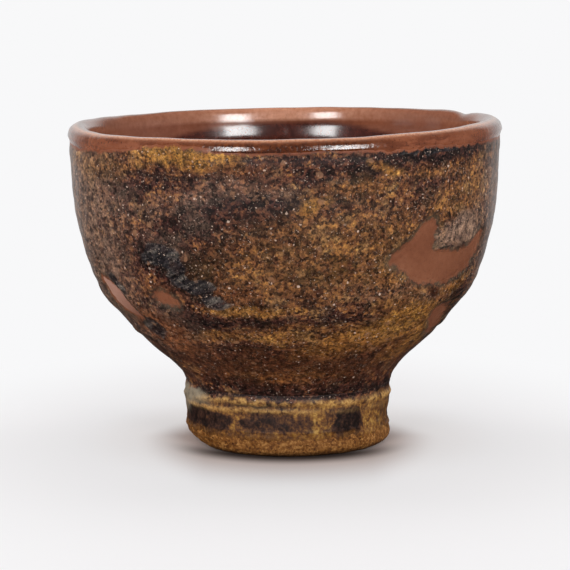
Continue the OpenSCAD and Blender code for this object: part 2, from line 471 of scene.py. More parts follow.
def make_iron_glaze():
    path = bowl_line(*IRON_STEPS)
    out = normals(path)
    out[-1] = (0, 1)
    outside = outside_share(path)[:, None]
    flat, azimuth, z, _ = on_grid(path, azimuths)
    thick = IRON_T + 0.035 * wander(flat, 4, 6) * (1 - 0.5 * outside)
    outer = bowl_warp(flat + on_axis(out, azimuths) * thick[..., None], outside)
    inner = bowl_warp(flat, outside)
    outer[0, :, 2] = inner[0, :, 2] = FOOT_H
    # The hidden side against the clay needs only every second ring.
    hidden = slice(0, len(path) - 1, 2)
    rings = np.concatenate([inner[hidden][::-1], outer[:-1]])
    obj = loft("iron_red_glaze", rings, inner[-1, 0], outer[-1, 0])
    index = np.arange(z.size).reshape(z.shape)
    pole = index[-1, 0]
    used = np.concatenate([index[hidden][::-1].ravel(), index[:-1].ravel(), [pole, pole]])
    inside = 1 - outside + 0 * z
    drop = INSIDE_SHADE_DROP * (1 - bell(apart(azimuth, 180), 0, INSIDE_SHADE_HALF))
    level = z + drop + 0.2 * wander(flat, 5, 33)
    sheen_at_back = 0.12 + 0.88 * bell(apart(azimuth, 181), 0, ROLL_SHEEN_HALF)
    top = np.argmax(path[:, 1])
    crest = bell(np.arange(len(path)), top - CREST_RINGS, CREST_RINGS)[:, None]
    paint(
        obj, used,
        # Painted shade inside the bowl.
        pool=inside * (1 - smooth_step(level, CUP_H - 2.8, CUP_H - 1.9)),
        # A pale band on the roll at the back: thinner glaze with a painted sheen.
        roll=inside * smooth_step(z, CUP_H - 2.3, CUP_H - 1.6) * sheen_at_back,
        inside=inside,
        crest=crest + 0 * z,
        # Painted shade darkens the front of the lip, while its sides stay paler.
        amber=(1 - inside) * (1 - smooth_step(np.abs(apart(azimuth, 1)), 15, 30)))
    # Where the mottled glaze covers it, and in the windows, the glaze is satin.
    middles = np.array([polygon.center for polygon in obj.data.polygons]) / MM
    out_r = np.hypot(middles[:, 0], middles[:, 1])
    covered = middles[:, 2] < BAND_Z - SATIN_BELOW
    satin = covered & (out_r > np.interp(middles[:, 2], *wall_middle))
    obj.data.polygons.foreach_set("material_index", satin.astype(np.int32))
    return obj


# What the front shows, and a like spread round the back: soft ovals given as
# (azimuth, height, half width, half height, strength, turn), in degrees and mm.
DARK = [
    (-31.5, 30.8, 5.4, 3.6, 1.1, -20), (-24, 26.8, 6, 2.2, 0.9, -10), (-14, 25, 5, 1.2, 0.8),
    (20, 43, 3, 1.5, 1.2, 10), (45, 45.4, 16, 1, 1, 2), (66, 44.4, 8, 0.8, 0.6),
    (3, 28, 3.8, 2.6, 0.5), (13, 30.6, 3.5, 2, 0.6), (3, 22.4, 9, 0.9, 0.45),
    (-10, 10.2, 14, 0.7, 0.9), (48, 9.9, 10, 0.7, 0.9), (-2, 38, 9, 2.6, 0.45, 12),
    (-24, 37, 9, 3, 0.6, 14), (-45, 41, 8, 1.4, 0.5), (-16, 22.4, 8, 1, 0.55),
    (-34, 21.5, 4.5, 2.4, 0.8), (0, 17.2, 16, 0.8, 0.8), (-4, 15.2, 20, 1.6, 0.8),
    (20, 21.6, 7, 1, 0.45), (30, 12.5, 9, 1.6, 0.6), (-28, 11.2, 8, 1.5, 0.6),
    (8, 10.4, 12, 1.2, 0.6), (60, 23.6, 4, 2, 0.6, -40), (104, 36, 9, 4, 0.9, 18),
    (128, 22, 10, 2, 0.7), (150, 41, 10, 2.2, 0.8, 6), (178, 30, 8, 3.4, 0.9, -20),
    (-150, 20, 9, 2, 0.7), (-132, 39, 11, 2.4, 0.8, 4), (-98, 24, 5, 5, 0.7, 10),
    (-92, 39, 8, 2, 0.6, -6), (-170, 44.6, 12, 1.4, 0.8),
]
BLUE = [
    (-33.5, 31, 3.6, 2.2, 1.1, -10), (-27, 27.4, 4.6, 1.5, 0.9, -14),
    (-20, 25.2, 3.6, 0.9, 0.8, -6), (42, 45.6, 9, 0.5, 0.8, 2), (-56, 26.6, 3, 1.2, 0.8, -34),
    (-52, 20.6, 2.6, 1.8, 0.8, -30), (103, 36.4, 6, 2.6, 0.8, 18), (178, 30.4, 5, 2.2, 0.8, -20),
    (-96, 23.4, 3, 3.4, 0.6, 10),
]
GOLD = [
    (-25, 45.5, 7, 1.7, 1.5, -3), (-38, 45.2, 3, 1.3, 0.7), (2, 31, 14, 6, 0.4, 10),
    (8, 38.6, 1.6, 1.2, 1.2, 20), (26, 44, 2.6, 0.5, 1.2, -25), (20, 31.5, 9, 5.5, 0.5, 20),
    (12, 35, 6, 2.6, 0.4, 20), (-10, 24.1, 7, 0.7, 1.2), (34, 20, 10, 2.6, 1.2, 14),
    (54, 18, 6, 3, 1, 30), (-62, 43.6, 9, 2, 0.7), (4, 21, 9, 1, 0.35), (-8, 19.6, 11, 1, 0.7),
    (34, 24.6, 5, 1.5, 0.6, 10), (26, 28.6, 5, 3, 0.5), (52, 38.5, 8, 3, 0.45, 8),
    (53, 33.3, 5, 1.6, 0.5, 8), (48, 43.2, 10, 1, 0.3, 2), (58, 25.6, 3.6, 1, 0.8, 12),
    (-2, 12.8, 8, 1, 0.35), (20, 40.6, 7, 2, 0.4), (120, 30, 12, 6, 0.6),
    (140, 44.6, 8, 1.2, 0.9), (-140, 30, 12, 6, 0.5), (170, 22, 10, 1, 0.6),
    (-110, 44.4, 9, 1.2, 0.8),
]
# Grey glaze; the large ovals on the flanks are a painted sheen that lightens them.
GREY_AND_SHEEN = [
    (-76, 37, 15, 10, 1.5), (-66, 28, 9, 8, 1.4), (-50, 20.5, 8, 4, 0.8),
    (-20, 40.4, 9, 1.6, 0.7, 14), (-34, 33.6, 5, 2, 0.5, -20), (53, 33.2, 5.6, 2.4, 2.2, 8),
    (80, 37, 10, 10, 1.4), (-24, 36.4, 2.4, 1.6, 0.5), (-3, 41.2, 3, 1.2, 0.7),
    (-64, 45, 5, 0.8, 1), (-12, 41.5, 7, 1.4, 0.5), (35, 25.4, 7, 1.2, 0.4, -12),
    (165, 36, 14, 5, 0.5),
]
COMBED = [
    (-36, 42.2, 14, 2, 1), (-54, 39.4, 8, 0.9, 0.7), (146, 40, 12, 1.8, 0.9),
    (-128, 43, 10, 1.4, 0.8),
]
RUST = [
    (-46, 19.8, 6, 3.2, 1.3, -20), (-38, 25.6, 3, 1.4, 0.6, -10), (-14, 26, 4, 1, 0.6, -6),
    (-31, 30, 0.8, 0.8, 1), (46, 26, 6, 1.1, 0.6, -4), (0, 14.6, 22, 3.6, 0.5),
    (-30, 14, 9, 2.4, 0.6, 10), (30, 16.5, 10, 3, 0.5), (-8, 43, 6, 2, 0.35),
    (180, 15, 60, 3.6, 0.5), (90, 15, 20, 3, 0.5),
]
MOTTLE_FIELDS = {
    "dark": DARK, "blue": BLUE, "gold": GOLD, "grey_and_sheen": GREY_AND_SHEEN, "rust": RUST, "combed": COMBED,
}
# Where the mottled glaze ends under the lip: (azimuth, height).
BAND_EDGE = [
    (-180, 45.9), (-140, 46.1), (-105, 45.5), (-69, 45.4), (-55, 45.8), (-45, 46.1),
    (-37, 46.75), (-23, 46.9), (-17, 46.4), (-5, 46.15), (11, 46.4), (18, 46.3), (26, 45.8),
    (39, 45.95), (46, 45.7), (65, 45.4), (110, 45.3), (150, 46),
]
# How far the coat sinks below the iron-red one where it ends, how thick the
# hidden side is at least, how far past an edge the mesh still goes, and how far
# above the band's height it can reach.
SUNK = 0.12
SHELL_T = 0.04
PAST_EDGE = 1.3
COAT_REACH = 1.75


def band_height(azimuth):
    level = np.interp(azimuth, *np.transpose(BAND_EDGE), period=360)
    return level + layered(outward(azimuth), (0.1, 1 / 9, 7), (0.1, 1 / 24, 3))


def make_mottled_glaze():
    top = np.argmax(bowl_path[:, 1] > BAND_Z + COAT_REACH)
    path = evenly(bowl_path[:top], MOTTLE_STEPS)
    out = normals(path)
    out[0] = (1, 0)
    along = on_axis(out, azimuths)
    flat, azimuth, z, r = on_grid(path, azimuths)
    # Places wander a little, so that no field has a drawn edge.
    shift = layered(flat, (1.2, 5, 11), (0.5, 1.6, 12))
    moved_azimuth = azimuth + np.degrees(shift / r)
    moved_z = z + layered(flat, (0.8, 5, 13), (0.35, 1.6, 14))
    fields = {
        name: blobs(moved_azimuth, moved_z, r, places) for name, places in MOTTLE_FIELDS.items()
    }
    ragged = layered(flat, (0.18, 1.3, 15), (0.1, 0.7, 16))
    from_window = window_distance(azimuth, z, r) + ragged
    below_band = band_height(azimuth) - z + 0.5 * ragged
    reach = np.minimum(from_window, below_band * 0.7)
    uneven = layered(flat, (0.045, 2.6, 17), (0.03, 1, 18))
    full = MOTTLE_T + uneven * smooth_step(z, FOOT_H, FOOT_H + 1)
    thick = -SUNK + (full + SUNK) * smooth_step(reach, -0.9, 1.5)
    under = np.minimum(0, thick - SHELL_T)
    outside = np.ones_like(z)
    outer = bowl_warp(flat + along * (IRON_T + thick)[..., None], outside)
    inner = bowl_warp(flat + along * (IRON_T + under)[..., None], outside)
    outer[0, :, 2] = inner[0, :, 2] = FOOT_H
    gone = reach < -PAST_EDGE
    corner = gone & np.roll(gone, -1, 1)
    kept = ~(corner[:-1] & corner[1:])
    obj, used = coat("mottled_glaze_coat", outer, inner, kept)
    paint(obj, used, rim=np.clip(from_window, -1, 4), band=np.clip(below_band, -1, 4), **fields)
    return obj


def foot_outline():
    """Clay outline of the foot's side, from the table up to the neck."""
    edge = [(BARE_R - EDGE_R + EDGE_R * math.sin(t), EDGE_R - EDGE_R * math.cos(t))
            for t in np.linspace(0, math.pi / 2, 9)]
    side = smooth_curve([
        (BARE_R, EDGE_R), (BARE_R, BARE_H), (NECK_R, BARE_H + TAPER_H),
        (NECK_R, 5.5), (NECK_R, 7.5), (NECK_R, FOOT_H)], 12)
    return np.concatenate([edge, side[1:]])


# The node line's two strands: (azimuth, height).
UPPER_STRAND = [
    (-180, 7.1), (-110, 6.9), (-65, 7.3), (-51, 7.9), (-39, 8.2), (0, 8.15), (17, 8.1),
    (28, 7.85), (57, 7.7), (78, 7.4), (130, 7),
]
LOWER_STRAND = [
    (-180, 6.1), (-110, 6.4), (-65, 6.5), (-39, 6.6), (-23, 6.9), (0, 6.9), (12, 6.7), (50, 6.4),
]


def node_line(azimuth):
    """Heights of the node line's two strands round the foot, and how plain the lower one is."""
    upper, lower = (
        np.interp(azimuth, *np.transpose(strand), period=360)
        for strand in (UPPER_STRAND, LOWER_STRAND))
    plain = 0.25 + 0.75 * (1 - smooth_step(np.abs(apart(azimuth, -30)), 32, 50))
    return upper, lower, plain


def foot_relief(points, azimuth):
    """The node line's two strands, raised from the foot."""
    z = points[..., 2]
    upper, lower, plain = node_line(azimuth)
    uneven = 0.75 + 0.35 * wander(points, 2.2, 21)
    return uneven * (0.28 * bell(z, upper, 0.45) + 0.16 * plain * bell(z, lower, 0.34))


def make_clay_foot():
    inner = EDGE_R / 2
    hollow = smooth_curve([
        (0, RECESS_H), (RECESS_R * 0.55, RECESS_H - 0.12), (RECESS_R - 1.6, RECESS_H - 0.5),
        (RECESS_R - 0.3, RECESS_H - 1.5), (RECESS_R, 2.6), (RECESS_R, inner)], 8)
    turn = [(RECESS_R + inner - inner * math.cos(t), inner - inner * math.sin(t))
            for t in np.linspace(0, math.pi / 2, 5)[1:]]
    path = evenly(np.concatenate([hollow, turn, foot_outline()]), FOOT_STEPS)
    path[:, 1] = np.maximum(path[:, 1], 0)
    flat, azimuth, z, r = on_grid(path, plain_azimuths)
    # A worn, pitted standing ring, a chip in it on the left, and the node line.
    wear = bell(z, 1, 1.1) * (r > BARE_R - 1.6)
    out_by = wear * layered(flat, (0.16, 2.4, 22), (0.07, 0.9, 23))
    out_by += np.where(r > NECK_R - 1, foot_relief(flat, azimuth), 0)
    out_by -= bell(apart(azimuth, -72), 0, 22) * (1 - smooth_step(z, 0.2, 2.4)) * (r > RECESS_R + 1)
    grow = 1 + out_by / np.maximum(r, 1)
    # Marks of the turning tool in the hollow.
    marks = 0.09 * np.sin(r * 3.6 + np.radians(azimuth)) * smooth_step(r, 1, 3)
    in_hollow = (r < RECESS_R + 0.2) & (z > 1)
    flat = flat * np.stack([grow, grow, np.ones_like(grow)], -1)
    flat[..., 2] += np.where(in_hollow, marks, 0)
    return loft("turned_foot", foot_warp(flat)[1:], (0, 0, RECESS_H), (0, 0, FOOT_H))


# Ovals on the foot, given as those of the bowl are.
FOOT_DARK = [
    (-56, 4.2, 5.6, 2, 1), (31, 4.8, 1.7, 2.2, 1.15), (39, 4.7, 1.7, 2.3, 1.15),
    (-20, 5, 1.7, 0.9, 0.6), (-9, 5.4, 1.2, 0.7, 0.5), (-6, 5, 6, 1.2, 0.4),
    (10, 9.3, 12, 0.5, 0.9), (50, 9.1, 7, 0.6, 0.9), (-48, 9.2, 4, 0.7, 0.9),
    (-14, 7.5, 5, 0.35, 0.8), (-58, 7.1, 3, 0.4, 0.8), (100, 4.6, 4, 1.4, 0.9),
    (140, 4.2, 3, 1.2, 0.6), (180, 4.8, 5, 1.3, 0.9), (-140, 4.4, 4, 1.2, 0.7),
    (-100, 4.8, 3, 1.4, 0.8), (150, 8.4, 10, 0.6, 0.7),
]
FOOT_BUFF = [
    (16, 4.8, 1.1, 2.4, 0.75), (60, 4.4, 3.8, 2.2, 1), (-30, 4, 0.6, 1.2, 0.4),
    (-2, 3.2, 8, 0.6, 0.5), (30, 7.2, 10, 0.5, 0.5), (120, 4.4, 2.4, 1.6, 0.8),
    (-165, 4.2, 2.6, 1.5, 0.7), (-120, 4, 2, 1.5, 0.7),
]
FOOT_GREEN = [
    (-71, 8.3, 5.2, 2, 1.05), (-79, 6.4, 3, 1.5, 0.85), (170, 8.6, 4, 1.2, 0.7),
]
# The foot's coat just above its edge, and how far below the edge the mesh goes.
FOOT_EDGE_T = 0.2
FOOT_SUNK = 0.1
BELOW_EDGE = 0.9


def make_foot_glaze():
    side = foot_outline()
    path = evenly(side[side[:, 1] > BARE_H - BELOW_EDGE], FOOT_GLAZE_STEPS)[::-1]
    out = -normals(path)
    out[0] = (1, 0)
    along = on_axis(out, azimuths)
    flat, azimuth, z, r = on_grid(path, azimuths)
    around = outward(azimuth)
    # The edge runs lower at the back, and is ragged.
    ragged = layered(around, (0.35, 1 / 9, 24), (0.25, 1 / 26, 25))
    end = BARE_H - 0.35 + 0.4 * np.cos(np.radians(azimuth - 5)) + ragged
    reach = z - end
    full = FOOT_EDGE_T + (GLAZE_T - FOOT_EDGE_T) * smooth_step(z, BARE_H, BARE_H + TAPER_H)
    uneven = layered(flat, (0.04, 1.8, 26), (0.02, 0.8, 27))
    full += uneven * smooth_step(FOOT_H - z, 0, 1)
    thick = -FOOT_SUNK + (full + FOOT_SUNK) * smooth_step(reach, -0.3, 0.5)
    under = np.minimum(0, thick - SHELL_T)
    raised = flat + around * foot_relief(flat, azimuth)[..., None]
    outer = foot_warp(raised + along * thick[..., None])
    inner = foot_warp(raised + along * under[..., None])
    outer[0, :, 2] = inner[0, :, 2] = FOOT_H
    obj, used = coat("foot_glaze_coat", outer, inner)
    shift = layered(flat, (0.7, 2.6, 28), (0.35, 1, 29))
    place = (azimuth + np.degrees(shift / r), z + 0.4 * wander(flat, 1.6, 30), r)
    upper, lower, plain = node_line(azimuth)
    broken = 1 - 0.75 * smooth_step(wander(around, 1 / 9, 34), 0.1, 0.5)
    line = np.maximum(broken * bell(z, upper, 0.5), 0.8 * plain * bell(z, lower, 0.32))
    frayed = layered(flat, (0.45, 1.9, 31), (0.25, 0.8, 32))
    paint(
        obj, used,
        dark=blobs(*place, FOOT_DARK), line=line,
        buff=blobs(*place, FOOT_BUFF), green=blobs(*place, FOOT_GREEN),
        rim=np.clip(reach, -1, 4),
        neck=smooth_step(z + frayed, FOOT_H - 1, FOOT_H - 0.4))
    return obj


def rgb(code):
    """A colour written as the eye sees it, #rrggbb, in the renderer's linear values."""
    parts = [int(code[i:i + 2], 16) / 255 for i in (1, 3, 5)]
    return tuple(c / 12.92 if c <= 0.04045 else ((c + 0.055) / 1.055) ** 2.4 for c in parts)


class Material:
    """A Principled material and short ways to add its nodes. Sizes are in mm."""

    def __init__(self, name, **sockets):
        self.material = bpy.data.materials.new(name)
        self.material.use_nodes = True
        self.tree = self.material.node_tree
        self.shader = self.tree.nodes["Principled BSDF"]
        for socket, value in sockets.items():
            self.shader.inputs[socket.replace("_", " ")].default_value = value
        self.place = self.node("TexCoord").outputs["Object"]

    def node(self, kind, inputs=None, **settings):
        """A node with its settings. Its inputs, by name, are values or links."""
        made = self.tree.nodes.new("ShaderNode" + kind)
        for name, value in settings.items():
            setattr(made, name, value)
        for name, value in (inputs or {}).items():
            self.feed(made.inputs[name], value)
        return made

    def feed(self, socket, value):
        if isinstance(value, bpy.types.NodeSocket):
            self.tree.links.new(value, socket)
        elif isinstance(value, tuple) and len(value) == 3 and socket.type == "RGBA":
            socket.default_value = (*value, 1)
        else:
            socket.default_value = value

    def maths(self, operation, a, b=0, c=0):
        made = self.node("Math", operation=operation)
        for socket, value in zip(made.inputs, (a, b, c)):
            self.feed(socket, value)
        return made.outputs[0]

    def times(self, a, b):
        return self.maths("MULTIPLY", a, b)

    def larger(self, a, b):
        return self.maths("MAXIMUM", a, b)

    def total(self, base, *terms):
        """The base and each value times its weight, added up."""
        result = base
        for value, weight in terms:
            result = self.maths("MULTIPLY_ADD", value, weight, result)
        return result

    def coordinate(self, axis, vector=None):
        """X, Y or Z of a vector, or of the place on the object in metres."""
        vector = self.place if vector is None else vector
        return self.node("SeparateXYZ", {"Vector": vector}).outputs[axis]

    def scaled(self, size, stretch, turn=None):
        """The place on the object, in steps of that size."""
        place = self.place
        if turn is not None:
            turned = {"Vector": place, "Rotation": turn}
            place = self.node("VectorRotate", turned, rotation_type="EULER_XYZ").outputs[0]
        made = self.node("VectorMath", {"Vector": place}, operation="MULTIPLY")
        made.inputs[1].default_value = tuple(f / (size * MM) for f in stretch)
        return made.outputs[0]

    def noise(self, size, detail, rough, stretch=(1, 1, 1), twist=0, turn=None):
        inputs = {"Scale": 1, "Detail": detail, "Roughness": rough, "Distortion": twist}
        inputs["Vector"] = self.scaled(size, stretch, turn)
        return self.node("TexNoise", inputs).outputs["Fac"]

    def cells(self, size):
        """The distance to the nearest cell of that size, and a value of its own for each cell."""
        made = self.node("TexVoronoi", {"Scale": 1, "Vector": self.scaled(size, (1, 1, 1))})
        value = self.node("SeparateColor", {"Color": made.outputs["Color"]})
        return made.outputs["Distance"], value.outputs["Red"]

    def dots(self, size, share, radius, ragged):
        """Uneven dots in a share of the cells of that size. The radius is in cells."""
        distance, value = self.cells(size)
        chosen = self.step(value, 1 - share, 1 - share / 2)
        reach = self.total(-0.5 * ragged, (distance, 1), (self.noise(size * 0.3, 1, 0.55), ragged))
        return self.times(chosen, self.step(reach, radius * 1.2, radius * 0.8))

    def field(self, name):
        return self.node("Attribute", attribute_name=name).outputs["Fac"]

    def step(self, value, low, high):
        inputs = {"Value": value, "From Min": low, "From Max": high}
        return self.node("MapRange", inputs, interpolation_type="SMOOTHSTEP").outputs["Result"]

    def ramp(self, value, stops):
        made = self.node("ValToRGB", {"Fac": value})
        ramp = made.color_ramp
        while len(ramp.elements) < len(stops):
            ramp.elements.new(0.5)
        for element, (at, colour) in zip(ramp.elements, stops):
            element.position = at
            element.color = (*rgb(colour), 1)
        return made.outputs["Color"]

    def mix(self, share, a, b, blend="MIX"):
        inputs = {"Factor": share, "A": a, "B": b}
        return self.node("Mix", inputs, data_type="RGBA", blend_type=blend).outputs["Result"]

    def tint(self, colour, *tints):
        """The colour turned into each tint by a share of its most. A ramp runs along a value."""
        for share, most, tint, *along in tints:
            towards = self.ramp(*along, tint) if along else rgb(tint)
            colour = self.mix(self.times(share, most), colour, towards)
        return colour

    def finish(self, colour, rough, height, depth, strength=1):
        """The finished material, with the height as a bump of that depth."""
        relief = {"Height": height, "Distance": depth * MM, "Strength": strength}
        normal = self.node("Bump", relief).outputs["Normal"]
        for socket, value in (("Base Color", colour), ("Roughness", rough), ("Normal", normal)):
            self.feed(self.shader.inputs[socket], value)
        return self.material


# Colours of the glazes and the clay along a ramp: (place, colour).
GRAIN_RAMP = [
    (0, "#1b0e0b"), (0.25, "#341b17"), (0.42, "#4d2b20"), (0.58, "#643d25"),
    (0.74, "#7c502a"), (0.9, "#956833"), (1, "#ae8245"),
]
ORANGE_RAMP = [(0.2, "#3c1e12"), (0.8, "#915e2b")]
OLIVE_RAMP = [(0.2, "#2c201a"), (0.8, "#786142")]
GOLD_RAMP = [(0.32, "#683f13"), (0.66, "#b07b2a")]
GREY_AND_SHEEN_RAMP = [(0.35, "#4c3a33"), (0.7, "#9d7d66")]
RUST_RAMP = [(0.35, "#56290f"), (0.7, "#9a5c30")]
INK_RAMP = [(0.36, "#121014"), (0.5, "#262427"), (0.66, "#5d5750")]
WINDOW_EDGE_RAMP = [(0.38, "#201d1b"), (0.62, "#4a4436")]
SATIN_RAMP = [(0.32, "#6c3c25"), (0.5, "#7a482f"), (0.7, "#86543a")]
LIP_RAMP = [(0.32, "#6b351e"), (0.5, "#7d452b"), (0.7, "#8e5439")]
FRONT_LIP_SHADE_RAMP = [(0.32, "#2c1208"), (0.5, "#4a210d"), (0.7, "#6e3716")]
INSIDE_RAMP = [(0.32, "#723d28"), (0.5, "#804831"), (0.7, "#8f553d")]
ROLL_SHEEN_RAMP = [(0.3, "#c98868"), (0.7, "#e6a788")]
CREST_RAMP = [(0.35, "#c47b58"), (0.7, "#f4b994")]
INSIDE_SHADE_RAMP = [(0.35, "#370e07"), (0.7, "#531d11")]
CLAY_RAMP = [(0.3, "#2c1607"), (0.5, "#5c3411"), (0.7, "#80501f"), (0.95, "#ab7a42")]
FOOT_RAMP = [
    (0, "#1a0f0c"), (0.25, "#342019"), (0.45, "#54341f"), (0.65, "#7a4f24"),
    (0.85, "#9c7232"), (1, "#b68e4a"),
]
PURPLE_RAMP = [(0.3, "#2b1913"), (0.7, "#533528")]
NODE_LINE_RAMP = [(0.3, "#96652a"), (0.7, "#d2a862")]
GREEN_RAMP = [(0.3, "#6b6151"), (0.7, "#998e79")]
TOASTED_RAMP = [(0.35, "#5f360f"), (0.65, "#8c5d24")]
DRAGGED_GRAINS = "#21130f"
TAN_SPOTS = "#94694a"
PITS = "#0d0909"
CRYSTALS_AND_GLINTS = "#cbb09c"
LIP_STREAKS = "#4a1f0f"
LIP_SPECKS = "#2d1510"
SATIN_SPECKS = "#3c2015"
PAINTED_SIDE_SHEEN = "#b08878"
FOOT_EDGE_SHADE = "#2e1a0b"


def granular(m):
    """Colour, height and two grains of the mottled glaze, for a material that has its fields."""
    broad = m.noise(7.5, 2, 0.5, twist=0.3)
    medium = m.noise(3.2, 4, 0.62, twist=0.2)
    clumps = m.noise(1.15, 3, 0.6)
    warmth = m.noise(2.6, 3, 0.55, twist=0.3)
    lines = m.noise(0.85, 4, 0.6, stretch=(0.09, 0.09, 0.8))
    grain = m.noise(0.42, 2, 0.6)
    salt = m.noise(0.28, 1, 0.5)
    _, random = m.cells(0.42)
    _, coarse = m.cells(0.85)
    dark, gold = m.field("dark"), m.field("gold")
    blot = m.step(m.total(-0.8, (dark, 1), (clumps, 0.9), (grain, 0.7)), 0.3, 0.62)
    # How much amber shows between the dark grains.
    tone = m.total(
        -1.71, (broad, 0.65), (medium, 0.9), (clumps, 0.65), (lines, 0.5), (grain, 0.85),
        (random, 0.36), (coarse, 0.22), (gold, 0.2), (dark, -0.06), (blot, -0.25))
    stroke = m.noise(0.8, 3, 0.6, stretch=(0.22, 0.22, 1), turn=(0, math.radians(28), 0))
    inky = m.step(m.total(-0.75, (m.field("blue"), 1), (clumps, 0.8), (grain, 0.5)), 0.3, 0.6)
    # Rows of dark grains, as the wheel dragged them.
    rows = m.step(m.noise(1.1, 2, 0.4, stretch=(0.1, 0.1, 1)), 0.5, 0.58)
    rows = m.times(m.times(rows, m.field("combed")), m.step(grain, 0.36, 0.5))
    # The fields tint the colour; grey is partly a painted sheen on the flanks.
    colour = m.tint(
        m.ramp(tone, GRAIN_RAMP),
        (m.step(warmth, 0.52, 0.64), 0.3, ORANGE_RAMP, tone),
        (m.step(warmth, 0.48, 0.37), 0.45, OLIVE_RAMP, tone),
        (gold, 0.45, GOLD_RAMP, clumps),
        (m.field("grey_and_sheen"), 0.42, GREY_AND_SHEEN_RAMP, clumps),
        (m.field("rust"), 0.55, RUST_RAMP, clumps),
        (inky, 0.88, INK_RAMP, stroke),
        (rows, 0.85, DRAGGED_GRAINS))
    # Fine dark and light grains all over.
    shade = m.larger(m.total(-0.75, (salt, 2.6), (random, 0.9)), 0.3)
    # Tan spots, dark pits, and pale flecks and crystals that are partly painted glints; the flecks
    # crowd where the glaze is dark.
    crowd = m.step(medium, 0.62, 0.38)
    glinting_flecks = m.times(m.step(m.noise(0.26, 2, 0.7), 0.62, 0.72), m.total(0.3, (crowd, 0.5)))
    glinting_crystals = m.larger(m.dots(0.75, 0.3, 0.13, 0.6), m.dots(1.6, 0.3, 0.1, 0.3))
    colour = m.tint(
        m.mix(1, colour, shade, "MULTIPLY"),
        (m.dots(2.4, 0.5, 0.17, 0.5), 0.55, TAN_SPOTS),
        (m.dots(0.95, 0.4, 0.24, 0.5), 0.75, PITS),
        (m.larger(glinting_flecks, m.times(glinting_crystals, 0.85)), 1, CRYSTALS_AND_GLINTS))
    height = m.total(0, (grain, 0.6), (salt, 0.4), (random, 0.2), (clumps, 0.3))
    return colour, height, clumps, grain


def iron_colour(m, stops):
    """The colour of the iron red glaze, and its small grain."""
    broad = m.noise(6, 3, 0.5)
    small = m.noise(0.8, 3, 0.6)
    return m.ramp(m.total(0, (broad, 0.6), (small, 0.4)), stops), small


def mottled_material():
    m = Material("mottled_brown_glaze", Coat_Weight=0.25, Coat_Roughness=0.15)
    colour, height, clumps, grain = granular(m)
    # Dark glaze round a window, and the iron red that shows where the coat is thinnest.
    near = m.total(-1.35, (m.field("rim"), 1), (clumps, 1.7), (grain, 1))
    edge = m.times(m.step(near, 1.5, 0.5), m.step(grain, 0.3, 0.55))
    colour = m.tint(colour, (edge, 0.72, WINDOW_EDGE_RAMP, clumps))
    colour = m.mix(m.step(near, 0.6, -0.05), colour, iron_colour(m, SATIN_RAMP)[0])
    under_lip = m.total(-0.85, (m.field("band"), 1), (clumps, 1), (grain, 0.7))
    colour = m.mix(m.step(under_lip, 0.35, 0.05), colour, iron_colour(m, LIP_RAMP)[0])
    return m.finish(colour, m.total(0.22, (clumps, 0.3)), height, 0.07, 0.6)


def iron_gloss_material():
    m = Material(
        "iron_red_gloss", Specular_IOR_Level=0.7, Coat_Weight=0.9, Coat_Roughness=0.16)
    colour, small = iron_colour(m, LIP_RAMP)
    fine = m.noise(0.35, 2, 0.5)
    inside = m.field("inside")
    streaks = m.step(m.noise(1.7, 4, 0.62, stretch=(0.4, 0.4, 1.5)), 0.5, 0.62)
    colour = m.tint(
        colour,
        (streaks, m.total(0.55, (inside, -0.45)), LIP_STREAKS),
        # Painted shade on the front of the lip, darker than its sides.
        (m.field("amber"), 0.9, FRONT_LIP_SHADE_RAMP, small))
    colour = m.tint(
        m.mix(inside, colour, iron_colour(m, INSIDE_RAMP)[0]),
        # A painted sheen on the roll, over its paler, thinner glaze.
        (m.field("roll"), 0.85, ROLL_SHEEN_RAMP, small),
        (m.field("crest"), 0.9, CREST_RAMP, fine),
        # Painted shade down inside the bowl.
        (m.field("pool"), 0.95, INSIDE_SHADE_RAMP, small),
        (m.step(fine, 0.6, 0.7), m.total(0.5, (inside, -0.4)), LIP_SPECKS))
    # The lip's glaze is uneven, and the inside's is smooth.
    height = m.times(m.total(0, (small, 0.8), (fine, 0.2)), m.total(1, (inside, -0.88)))
    return m.finish(colour, m.total(0.03, (small, 0.1), (inside, 0.12)), height, 0.14, 0.9)


def iron_satin_material():
    m = Material("iron_red_satin", Specular_IOR_Level=0.3)
    colour, small = iron_colour(m, SATIN_RAMP)
    fine = m.noise(0.35, 2, 0.5)
    # A painted sheen makes the coat paler on the left, the side that the bowl leans to.
    side_sheen = m.step(m.coordinate("X"), -19 * MM, -27 * MM)
    colour = m.tint(colour, (m.step(fine, 0.6, 0.7), 0.3, SATIN_SPECKS), (side_sheen, 0.7, PAINTED_SIDE_SHEEN))
    height = m.total(0, (small, 0.7), (fine, 0.3))
    return m.finish(colour, m.total(0.42, (small, 0.16)), height, 0.08, 0.8)


def clay_material(name):
    m = Material(name, Specular_IOR_Level=0.3)
    broad = m.noise(3, 3, 0.6)
    sand = m.noise(0.34, 3, 0.6)
    _, grit = m.cells(0.36)
    colour = m.ramp(m.total(-0.15, (broad, 0.5), (sand, 0.9), (grit, 0.3)), CLAY_RAMP)
    # Painted shade darkens the clay near the table, at the foot's bottom edge.
    low = m.step(m.total(0, (m.coordinate("Z"), 1 / MM), (sand, 0.8)), 1.6, 0.5)
    colour = m.tint(colour, (low, 0.55, FOOT_EDGE_SHADE))
    height = m.total(0, (sand, 1), (grit, 0.5))
    return m.finish(colour, m.total(0.6, (sand, 0.2)), height, 0.16)


